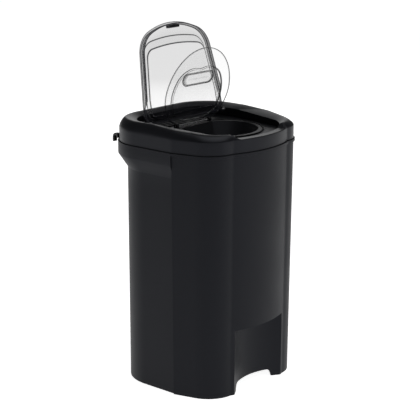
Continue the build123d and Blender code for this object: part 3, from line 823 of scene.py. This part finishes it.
def dish_rows(up, down, spots):
    """The dish from its middle up its slope; the slope is up t + down (1 - t)."""
    top = DISH_FLOOR + SHEET
    rows = [(shrink(down, s, DISH_MIDDLE), top, 0.0) for s in spots]
    return rows + [
        (shrink(down, 0.985, DISH_MIDDLE), top, 0.9),
        (down, DISH_FLOOR + 2.5, 1.0),
        (up * 0.12 + down * 0.88, DISH_FLOOR + 3.1, 0.0),
        (up * 0.5 + down * 0.5, 494.0, 0.0),
        (up * 0.9 + down * 0.1, LID_HIGH - 0.8, 0.0),
        (up, LID_HIGH - 0.3, 1.0),
        (dish_line(1.0, 0.8), LID_HIGH, 1.0),
        (dish_line(1.0, 1.6), LID_HIGH, 0.0),
    ]


FLANGE = (                               # inside the edge, below the top, turn
    (6.2, 0.0, 0.0), (5.4, 0.0, 0.9), (4.0, 0.0, 0.9), (3.2, 0.0, 0.0),
    (1.4, 0.0, 0.0), (0.7, 0.0, 0.8), (0.1, 0.5, 0.8), (0.0, 1.1, 0.6),
    (0.1, SHEET - 0.5, 0.8), (0.7, SHEET, 0.6), (2.9, SHEET, 0.2),
)
LIP = (                                  # inside the edge, below the underside, turn
    (3.0, 0.4, 0.3), (3.0, 7.5, 0.5), (3.4, 8.0, 1.0),
    (4.6, 8.0, 1.0), (5.0, 7.5, 0.5), (5.1, 0.0, 0.7),
)


def lip_row(inset, drop, turn):
    """A row of the lip: its drop times (142 - y) / 12, held between none and all."""
    plan = lid_line(-inset)
    share = np.clip((LIP_START - plan[:, 1]) / LIP_RUN, 0, 1)
    return plan, LID_LOW - drop * share, turn


def outer_lid_rows():
    """The lid's section from the middle of the dish, over the edge and back underneath."""
    up, down = dish_line(1.0), dish_line(0.0)
    rows = dish_rows(up, down, (0.02, 0.35, 0.7, 0.97))
    rows += [(lid_line(-inset), LID_HIGH - drop, turn) for inset, drop, turn in FLANGE]
    rows += [lip_row(*row) for row in LIP]
    rows += [
        (lid_line(-6.5), LID_LOW, 0.0),
        (dish_line(1.0, 1.5), LID_LOW, 0.1),
        (dish_line(0.0, 1.5), DISH_FLOOR + 0.4, 0.1),
        (down, DISH_FLOOR, 0.1),
    ]
    return rows + [(shrink(down, s, DISH_MIDDLE), DISH_FLOOR, 0.0) for s in (0.97, 0.6, 0.3, 0.02)]


lid_grid, lid_edge = section(outer_lid_rows())
outer = grid_mesh("outer_lid_shell", swing(lid_grid, OUTER_HINGE), caps=True, edge=lid_edge)
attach(outer, "outer_lid")
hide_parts("outer_lid")
outer.data.materials.append(smoke_clear)
print("outer lid:", len(outer.data.vertices), "points in", len(lid_edge), "rows")

# %% [markdown]
# ## Outlines of the inner lid
# The inner lid is a small egg: a straight hinge edge, sides that swell, and a round
# free end. An ellipse scaled by hand would come close, but circles through three
# points give the swell and the free end exactly where they are wanted.

# %% Egg outline
HINGE_LINE = INNER_HINGE[0]
EGG_HALF, EGG_FLAT = 89.0, 42.0          # half its width, and half its hinge edge
EGG_WIDE, EGG_TIP = 97.0, 12.0           # y of the widest place and of the free end
SWELL = HINGE_LINE - EGG_WIDE


def through(p, m, q, n):
    """n points on the circle through p, m and q, from p towards q by way of m.

    The centre solves two equations of equal distance: 2 (m - p) . c = |m|^2 - |p|^2.
    """
    p, m, q = (np.asarray(a, float) for a in (p, m, q))
    c = np.linalg.solve(2 * np.array([m - p, q - p]), [m @ m - p @ p, q @ q - p @ p])
    a0, am, a1 = (np.arctan2(*(v - c)[::-1]) for v in (p, m, q))
    sweep = (a1 - a0) % (2 * np.pi)
    if (am - a0) % (2 * np.pi) > sweep:
        sweep -= 2 * np.pi
    a = a0 + sweep * np.arange(n) / n
    return c + np.hypot(*(p - c)) * np.stack([np.cos(a), np.sin(a)], -1)


def egg_line(grow=0.0):
    """The lid's edge by angle: a straight hinge edge, swelling sides, a round free end.

    Each side bulges so that it meets the free end upright: the bulge is half the
    chord times the tangent of half the chord's slant. grow moves each point along
    the normal, which is the step between its neighbours turned by a quarter.
    """
    reach = EGG_HALF - EGG_FLAT
    chord = np.hypot(reach, SWELL)
    bulge = chord / 2 * np.tan(np.arctan2(reach, SWELL) / 2)
    middle = np.array([(EGG_HALF + EGG_FLAT) / 2 + bulge * SWELL / chord,
                       HINGE_LINE - SWELL / 2 + bulge * reach / chord])
    side = through((EGG_FLAT, HINGE_LINE), middle, (EGG_HALF, EGG_WIDE), 40)
    free = through((EGG_HALF, EGG_WIDE), (0.0, EGG_TIP), (-EGG_HALF, EGG_WIDE), 72)
    left = side[::-1] * (-1, 1)
    top = line((-EGG_FLAT, HINGE_LINE), (EGG_FLAT, HINGE_LINE), 40)
    loop = np.vstack([side, free, line(left[0], left[1], 1), left[1:], top])
    step = np.roll(loop, -1, 0) - np.roll(loop, 1, 0)
    step /= np.maximum(np.hypot(*step.T), 1e-9)[:, None]
    return loop + grow * np.column_stack([-step[:, 1], step[:, 0]])


print("egg:", np.ptp(egg_line(), axis=0).round(1), "mm, points:", len(egg_line()))

# %% [markdown]
# ## Grip and raised panel
# On the lid stand a raised panel and, on that, a long rounded grip. Both need as many
# points as the egg round them, so that the rows join up. So each point of the egg
# looks towards a centre, and the grip's or the panel's point lies on that same ray.

# %% Grip and panel outlines
GRIP_Y = HINGE_LINE - 86.0               # the grip's centre line, 86 mm from the hinge
PANEL_Y = 97.0                           # the centre that the panel is measured from
PANEL_POINTS = np.array([                # x, and distance from the hinge
    (0, 104), (38, 104), (54, 95), (65, 76), (69, 57), (66, 37), (57, 18), (28, 9), (0, 8),
], float)


def grip_line(loop, half, radius):
    """A long round-ended line about the grip's centre, one point for each of loop's.

    Along each direction from the centre it is the edge of a bar with round ends.
    """
    centre = np.array([0.0, GRIP_Y])
    way = loop - centre
    way /= np.hypot(*way.T)[:, None]
    run = half - radius
    flat = radius / np.maximum(np.abs(way[:, 1]), 1e-9)
    cx = run * np.sign(way[:, 0])
    along = way[:, 0] * cx
    cap = along + np.sqrt(np.maximum(along ** 2 - cx ** 2 + radius ** 2, 0))
    reach = np.where(np.abs(way[:, 0]) * flat <= run, flat, cap)
    return centre + way * reach[:, None]


def panel_line(loop, grow=0.0):
    """The raised panel: a smooth closed line through a few points.

    The distance from the panel's centre is interpolated over the angle, then rounded
    by averaging over neighbouring angles.
    """
    half = PANEL_POINTS * (1, -1) + (0, HINGE_LINE)
    whole = np.vstack([half, half[1:-1][::-1] * (-1, 1)]) - (0, PANEL_Y)
    angle, reach = np.arctan2(whole[:, 1], whole[:, 0]), np.hypot(*whole.T)
    order = np.argsort(angle)
    way = loop - (0, PANEL_Y)
    at = np.arctan2(way[:, 1], way[:, 0])
    spread = np.radians(np.linspace(-9, 9, 13))
    near = np.interp(at[:, None] + spread, angle[order], reach[order], period=2 * np.pi)
    r = near.mean(1) + grow
    return np.column_stack([r * np.cos(at), r * np.sin(at) + PANEL_Y])


print("panel:", np.ptp(panel_line(egg_line()), axis=0).round(1), "mm")
print("grip:", np.ptp(grip_line(egg_line(), 42, 12), axis=0).round(1), "mm")

# %% [markdown]
# ## The inner lid
# It is water-clear and as thick as the outer lid. Its section starts in the middle of
# the grip, goes over the grip's edge, down to the panel and the flat border, round
# the edge and back underneath, where the panel is hollow. Separate pieces for grip
# and panel would show their hidden walls through the clear plastic.

# %% Inner lid
INNER_LOW, PANEL_TOP = 479.5, 484.7
INNER_HIGH = INNER_LOW + SHEET
GRIP_TOP = PANEL_TOP + 2.5
GRIP_EDGES = ((42, 12), (41.4, 11.4), (40.6, 10.6), (40, 10))    # half length, end radius


def inner_top_rows(edge, grips):
    """From the middle of the grip over the panel to the lid's edge."""
    rows = [(shrink(grips[3], s, GRIP_Y), PANEL_TOP, 0.0) for s in (0.02, 0.4, 0.8)]
    return rows + [
        (grips[3], PANEL_TOP, 0.8),
        (grips[3], GRIP_TOP - 0.5, 0.8),
        (grips[2], GRIP_TOP, 0.6),
        (grips[1], GRIP_TOP, 0.6),
        (grips[0], GRIP_TOP - 0.5, 1.0),
        (grips[0], PANEL_TOP + 0.1, 1.0),
        (grip_line(edge, 43.0, 13.0), PANEL_TOP, 0.0),
        (panel_line(edge, -1.6), PANEL_TOP, 0.0),
        (panel_line(edge, -0.6), PANEL_TOP - 0.1, 0.9),
        (panel_line(edge), PANEL_TOP - 0.7, 1.0),
        (panel_line(edge), INNER_HIGH + 0.2, 1.0),
        (panel_line(edge, 0.6), INNER_HIGH, 0.6),
        (panel_line(edge, 1.6), INNER_HIGH, 0.0),
        (egg_line(-2.2), INNER_HIGH, 0.0),
        (egg_line(-0.7), INNER_HIGH, 0.8),
        (edge, INNER_HIGH - 0.7, 1.0),
    ]


def inner_under_rows(edge, grips):
    """From the lid's edge back underneath into the hollow of the panel."""
    rows = [
        (edge, INNER_LOW + 0.7, 1.0),
        (egg_line(-0.7), INNER_LOW, 0.6),
        (egg_line(-2.2), INNER_LOW, 0.0),
        (panel_line(edge, -1.6), INNER_LOW, 0.0),
        (panel_line(edge, -2.2), INNER_LOW + 0.3, 0.5),
        (panel_line(edge, -2.2), PANEL_TOP - 2.6, 0.3),
        (panel_line(edge, -3.0), PANEL_TOP - SHEET, 0.0),
    ]
    hollow = [(shrink(grips[0], s, GRIP_Y), PANEL_TOP - SHEET, 0.0) for s in (1.0, 0.6, 0.02)]
    return rows + hollow


egg = egg_line()
grip_outlines = [grip_line(egg, half, radius) for half, radius in GRIP_EDGES]
inner_rows = inner_top_rows(egg, grip_outlines) + inner_under_rows(egg, grip_outlines)
egg_grid, egg_edge = section(inner_rows)
inner = grid_mesh("inner_lid_shell", swing(egg_grid, INNER_HINGE), caps=True, edge=egg_edge)
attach(inner, "inner_lid")
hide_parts("inner_lid")
inner.data.materials.append(water_clear)
print("inner lid:", len(inner.data.vertices), "points in", len(egg_edge), "rows")

# %% [markdown]
# ## Bar in the grip
# A low bar runs down the middle of the grip's pocket and gives the fingers a hold. It
# is one soft block, swung open with the lid.

# %% Grip bar
BAR_HALF, BAR_WIDE = 30.0, 2.0
near, far = GRIP_Y - BAR_WIDE / 2, GRIP_Y + BAR_WIDE / 2
bar = rounded_block((-BAR_HALF, near, PANEL_TOP - 0.5), (BAR_HALF, far, PANEL_TOP + 1.3), 3.0)
grip_bar = grid_mesh("inner_lid_grip_bar", swing(bar, INNER_HINGE), caps=True)
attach(grip_bar, "inner_lid")
grip_bar.data.materials.append(water_clear)
print("grip bar:", 2 * BAR_HALF, "by", BAR_WIDE, "mm")

# %% [markdown]
# ## Hinge barrel
# The inner lid turns on a steel rod, and its hinge edge is rolled round that rod as a
# barrel. A cylinder primitive has sharp ends that would need a bevel, so the barrel
# is turned as on a lathe: a short section with rounded corners, carried round X.

# %% Turned parts
def turned(name, x0, x1, y, z, radius, edge, count=48):
    """A round bar along X with rounded ends: radius r and place x along a section.

    At each end r = radius - edge + edge sin(q) while x moves by edge cos(q).
    """
    a = np.linspace(0, 2 * np.pi, count, endpoint=False)
    q = np.linspace(0, np.pi / 2, 5)
    r = radius - edge + edge * np.sin(np.concatenate([q, q[::-1]]))
    x = np.concatenate([x0 + edge - edge * np.cos(q), x1 - edge + edge * np.cos(q[::-1])])
    grid = np.empty((len(r), count, 3))
    grid[..., 0] = x[:, None]
    grid[..., 1] = y + r[:, None] * np.cos(a)
    grid[..., 2] = z + r[:, None] * np.sin(a)
    return grid_mesh(name, grid, caps=True)


BARREL_RADIUS = 3.2
barrel = turned("inner_lid_barrel", -EGG_FLAT, EGG_FLAT, *INNER_HINGE[:2], BARREL_RADIUS, 0.5)
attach(barrel, "inner_lid")
barrel.data.materials.append(water_clear)
print("barrel:", 2 * EGG_FLAT, "mm long on", INNER_HINGE[:2])

# %% [markdown]
# ## Hinge eyes and webs
# The outer lid turns on two short pins. At each side an eye goes round the pin, and a
# small web joins the eye to the lid above it. The eye is turned like the barrel, and
# the web is a block that reaches from the middle of the eye up into the sheet.

# %% Eyes and webs
EYE_LONG, EYE_RADIUS = 7.0, 5.0
WEB_NEAR, WEB_FAR, WEB_TOP = 167.0, 175.0, 495.2
PIN_START = corners("hinge_pin_right")[0][0]
eye_y, eye_z = OUTER_HINGE[:2]
for side, sign in SIDES:
    x0 = PIN_START if sign > 0 else -PIN_START - EYE_LONG
    eye = turned("outer_lid_eye_" + side, x0, x0 + EYE_LONG, eye_y, eye_z, EYE_RADIUS, 0.6)
    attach(eye, "outer_lid")
    eye.data.materials.append(smoke_clear)
    web = rounded_block((x0, WEB_NEAR, eye_z), (x0 + EYE_LONG, WEB_FAR, WEB_TOP))
    web = grid_mesh("outer_lid_web_" + side, swing(web, OUTER_HINGE), caps=True)
    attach(web, "outer_lid")
    web.data.materials.append(smoke_clear)
print("eyes start at", PIN_START, "mm on", (eye_y, eye_z))

# %% [markdown]
# ## Catch
# A small glossy black block sits under the outer lid's free edge and holds it shut.
# Its real shape is plain, so one soft block is enough.

# %% Catch
CATCH_HALF = corners("lid_catch")[1][0]
CATCH_NEAR, CATCH_FAR, CATCH_FOOT = -2.0, 4.0, 487.0
block = rounded_block((-CATCH_HALF, CATCH_NEAR, CATCH_FOOT), (CATCH_HALF, CATCH_FAR, LID_LOW))
catch = grid_mesh("lid_catch_block", swing(block, OUTER_HINGE), caps=True)
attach(catch, "outer_lid")
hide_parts("lid_catch")
catch.data.materials.append(gloss_black)
print("catch:", 2 * CATCH_HALF, "mm wide")

# %% [markdown]
# ## Rear hooks
# At each rear corner a glossy flat bar comes out of the skirt, goes up and over, and
# hangs down. A curve with a bevel object could carry the section too, but a point's
# radius there would widen the bar as well as thicken it. Here a soft square is carried
# along a path of a short rise, a half circle and a drop, and only its thickness changes.

# %% Hooks
(HOOK_IN, _, _), (HOOK_OUT, _, HOOK_TOP) = corners("rear_hook_right")
HOOK_X, HOOK_HALF = (HOOK_IN + HOOK_OUT) / 2, (HOOK_OUT - HOOK_IN) / 2
HOOK_THICK, HOOK_BEND = 2.2, 5.2         # half thickness, and the bend's radius
HOOK_START, HOOK_DROP = 458.9, (453.0, 449.6)    # heights of the rise and of the drop
HOOK_ROUND = 32                          # points round the section


def hook_rows(sign):
    """A flat bar swept up, over and down: section |a|^4 + |b|^4 = 1 along the path.

    The path starts on the skirt's round corner: y = back - r + sqrt(r^2 - x^2) there.
    """
    off_centre = HOOK_X - (RIM_HALF - RIM_CORNER)
    skirt = RIM_BACK - RIM_CORNER + np.sqrt(RIM_CORNER ** 2 - off_centre ** 2)
    bend = np.linspace(np.pi, 0, 20)
    cy, cz = skirt + HOOK_THICK + HOOK_BEND, HOOK_TOP - HOOK_THICK - 0.1 - HOOK_BEND
    over = np.stack([cy + HOOK_BEND * np.cos(bend), cz + HOOK_BEND * np.sin(bend)], -1)
    drop = [[cy + HOOK_BEND, z] for z in HOOK_DROP]
    path = np.vstack([[[skirt + 1.4, HOOK_START]], over, drop])
    way = np.gradient(path, axis=0)
    way /= np.hypot(*way.T)[:, None]
    across = np.column_stack([-way[:, 1], way[:, 0]])
    a = np.linspace(0, 2 * np.pi, HOOK_ROUND, endpoint=False)
    c, s = np.cos(a), np.sin(a)
    size = (np.abs(c) ** 4 + np.abs(s) ** 4) ** -0.25
    thick = np.full(len(path), HOOK_THICK)
    thick[-2:] = (2.7, 2.5)
    off = thick[:, None] * (s * size)[None]
    grid = np.empty((len(path), HOOK_ROUND, 3))
    grid[..., 0] = sign * HOOK_X + HOOK_HALF * (c * size)[None]
    grid[..., 1] = path[:, None, 0] + across[:, None, 0] * off
    grid[..., 2] = path[:, None, 1] + across[:, None, 1] * off
    return grid


for side, sign in SIDES:
    hook = soften(grid_mesh("hook_" + side, hook_rows(sign), caps=True), 0.8, 50)
    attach(hook, "rim")
    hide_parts("rear_hook_" + side)
    hook.data.materials.append(gloss_black)
print("hooks:", 2 * HOOK_HALF, "mm wide at", HOOK_X, "mm from the middle")

# %% [markdown]
# ## Pieces taken over from the frame
# Deck, chute, seals, ring, rod, pins and screws already have the right shape, so
# drawing them again would gain nothing. They stay as they are and only get a finish.

# %% Finishes for frame pieces
KEPT = {
    # The inside pieces take the darker black, whose colour holds painted shade for the inside of the
    # bin.
    "deck": inner_black, "chute": inner_black, "bag_ring": inner_black,
    "rim_seal": seal_black, "inner_seal": seal_black,
    "inner_hinge_rod": bright_steel, "hinge_pin_left": bright_steel,
    "hinge_pin_right": bright_steel, "deck_screws": bright_steel,
}
for node, finish in KEPT.items():
    kept = frame["nodes"][node]
    kept.data.materials.clear()
    kept.data.materials.append(finish)
print("frame pieces shown:", len(KEPT))

# %% [markdown]
# ## Studio floor
# The bin stands on a pale floor that runs out of sight into a white surround. A
# curved backdrop is the usual way, but a large plane that glows a little meets the
# white without a line, and still takes a faint shadow.

# %% Floor
FLOOR_REACH, FLOOR_GLOW = 30.0, 0.93     # metres to each side, and emission
pale = Shader(bpy.data.materials.new("studio_pale"))
floor_look = pale.finish(pale.principled({
    "Base Color": pale.mix(pale.noise(60.0), (0.90, 0.90, 0.90), (0.93, 0.93, 0.93)),
    "Roughness": 0.9,
    "Emission Color": (1, 1, 1, 1),
    "Emission Strength": FLOOR_GLOW,
}))
r = FLOOR_REACH
mesh = bpy.data.meshes.new("studio_floor")
mesh.from_pydata([(-r, -r, 0), (r, -r, 0), (r, r, 0), (-r, r, 0)], [], [(0, 1, 2, 3)])
floor = bpy.data.objects.new("studio_floor", mesh)
floor.data.materials.append(floor_look)
bpy.context.scene.collection.objects.link(floor)
print("studio floor:", 2 * FLOOR_REACH, "m across")

# %% [markdown]
# ## Surround
# Black plastic shows whatever is round it. A surround that is white everywhere would
# turn the bin grey, so the camera sees it white while the bin is lit by a tenth of
# it. The Light Path node tells the two apart.

# %% Surround
LIT_SHARE = 0.10
studio = Shader(bpy.data.worlds.new("studio"))
to_camera = studio.node("ShaderNodeLightPath", {}, {}, "Is Camera Ray")
strength = LIT_SHARE + (1 - LIT_SHARE) * to_camera
white = {"Color": (1, 1, 1, 1), "Strength": strength}
sky = studio.node("ShaderNodeBackground", {}, white, "Background")
bpy.context.scene.world = studio.finish(sky, "ShaderNodeOutputWorld")
print("surround: strength 1 to the camera,", LIT_SHARE, "to the bin")

# %% [markdown]
# ## Lights
# Four broad lights: a large one overhead, a soft key from the right that catches the
# front corner, a weak fill, and one from behind that draws a line of light along the
# rim's edges. Broad lights give black plastic soft sheens, where small ones would
# give hard spots.

# %% Lights
def area(name, place, target, size, power):
    """A square light at place, turned towards target.

    It tips by the angle between straight down and the way to the target.
    """
    data = bpy.data.lights.new(name, "AREA")
    data.size, data.energy = size, power
    lamp = bpy.data.objects.new(name, data)
    bpy.context.scene.collection.objects.link(lamp)
    lamp.location = place
    way = np.array(target) - np.array(place)
    tip = np.arctan2(np.hypot(way[0], way[1]), -way[2])
    lamp.rotation_euler = (tip, 0, np.arctan2(way[1], way[0]) - np.pi / 2)


area("overhead", (0.3, -0.2, 2.2), (0, 0, 0.4), 1.6, 14)
area("key", (0.7, -2.4, 0.8), (0, 0, 0.3), 1.2, 6.0)
area("fill", (-2.2, 0.9, 0.9), (0, 0, 0.3), 1.4, 1)
area("back", (2.3, 2.0, 1.25), (0, 0, 0.4), 1.6, 9)
print("lights, in watts:", {light.name: light.energy for light in bpy.data.lights})

# %% [markdown]
# ## Camera
# The bin is seen from its front left, a little from above, by a long lens a good way
# off, as for a catalogue. The Standard view transform keeps the white surround
# white, where the default one would turn it grey.

# %% Camera
CAMERA_PLACE = (-1.948, -1.7035, 1.000)  # metres
LOOKS_DOWN, TURNED = 14.76, -48.9        # degrees
LENS, SENSOR = 121.97, 36.0              # millimetres
camera_data = bpy.data.cameras.new("camera")
camera_data.lens, camera_data.sensor_width = LENS, SENSOR
camera = bpy.data.objects.new("camera", camera_data)
bpy.context.scene.collection.objects.link(camera)
camera.location = CAMERA_PLACE
camera.rotation_euler = (np.radians(90 - LOOKS_DOWN), 0, np.radians(TURNED))
bpy.context.scene.camera = camera
bpy.context.scene.view_settings.view_transform = "Standard"
print("camera:", CAMERA_PLACE, "m,", LENS, "mm lens")

# %% [markdown]
